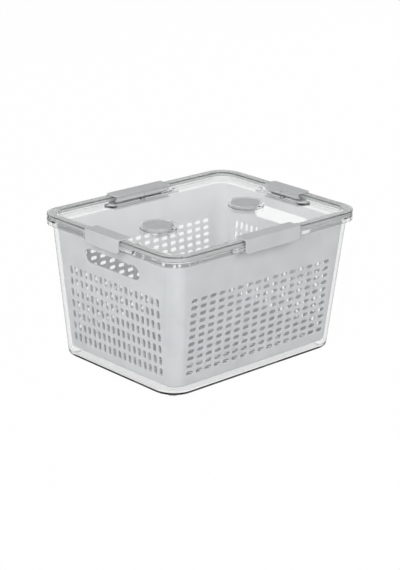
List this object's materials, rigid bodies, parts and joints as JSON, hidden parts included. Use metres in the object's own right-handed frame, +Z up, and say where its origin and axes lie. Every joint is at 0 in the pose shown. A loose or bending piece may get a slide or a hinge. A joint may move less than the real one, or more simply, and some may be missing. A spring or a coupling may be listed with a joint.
{
  "type": "potato storage bin",
  "caption": "Clear lidded storage bin with a perforated inner basket, side latches and turning air vents in the lid.",
  "frame": {"origin": "centre of the base, on the surface that the bin stands on", "axes": "+X along the long sides, +Y across the width towards the back latch, +Z up"},
  "size_m": [0.3256, 0.2566, 0.1865],
  "materials": {
    "clear_body": "clear moulded plastic, polished",
    "clear_lid": "clear moulded plastic, polished",
    "basket_plastic": "light grey moulded plastic, satin",
    "latch_plastic": "mid grey moulded plastic, satin",
    "cap_plastic": "mid grey moulded plastic, satin",
    "seal_rubber": "translucent silicone rubber"
  },
  "bodies": {
    "bin_body": {"bin": "clear_body"},
    "basket_body": {"basket": "basket_plastic"},
    "lid_body": {"lid": "clear_lid", "lid_seal": "seal_rubber"},
    "front_latch": {"latch_front": "latch_plastic"},
    "back_latch": {"latch_back": "latch_plastic"},
    "left_latch": {"latch_left": "latch_plastic"},
    "right_latch": {"latch_right": "latch_plastic"},
    "left_vent": {"vent_cap_left": "cap_plastic"},
    "right_vent": {"vent_cap_right": "cap_plastic"}
  },
  "joints": [
    {"name": "lid_lift", "type": "slide", "parent": "bin_body", "child": "lid_body", "axis": [0, 0, 1], "range_m": [0, 0.42]},
    {"name": "basket_lift", "type": "slide", "parent": "bin_body", "child": "basket_body", "axis": [0, 0, 1], "range_m": [0, 0.21]},
    {"name": "front_latch_hinge", "type": "hinge", "parent": "lid_body", "child": "front_latch", "pos_m": [0, -0.1113, 0.1792], "axis": [-1, 0, 0], "range_deg": [0, 100]},
    {"name": "back_latch_hinge", "type": "hinge", "parent": "lid_body", "child": "back_latch", "pos_m": [0, 0.1113, 0.1792], "axis": [1, 0, 0], "range_deg": [0, 100]},
    {"name": "left_latch_hinge", "type": "hinge", "parent": "lid_body", "child": "left_latch", "pos_m": [-0.1458, 0, 0.1792], "axis": [0, 1, 0], "range_deg": [0, 100]},
    {"name": "right_latch_hinge", "type": "hinge", "parent": "lid_body", "child": "right_latch", "pos_m": [0.1458, 0, 0.1792], "axis": [0, -1, 0], "range_deg": [0, 100]},
    {"name": "left_vent_turn", "type": "hinge", "parent": "lid_body", "child": "left_vent", "pos_m": [-0.075, -0.004, 0.1792], "axis": [0, 0, 1], "range_deg": [0, 90]},
    {"name": "right_vent_turn", "type": "hinge", "parent": "lid_body", "child": "right_vent", "pos_m": [0.075, -0.004, 0.1792], "axis": [0, 0, 1], "range_deg": [0, 90]}
  ],
  "couplings": [
    {"joint": "basket_lift", "follows": "lid_lift", "ratio": 0.5}
  ]
}
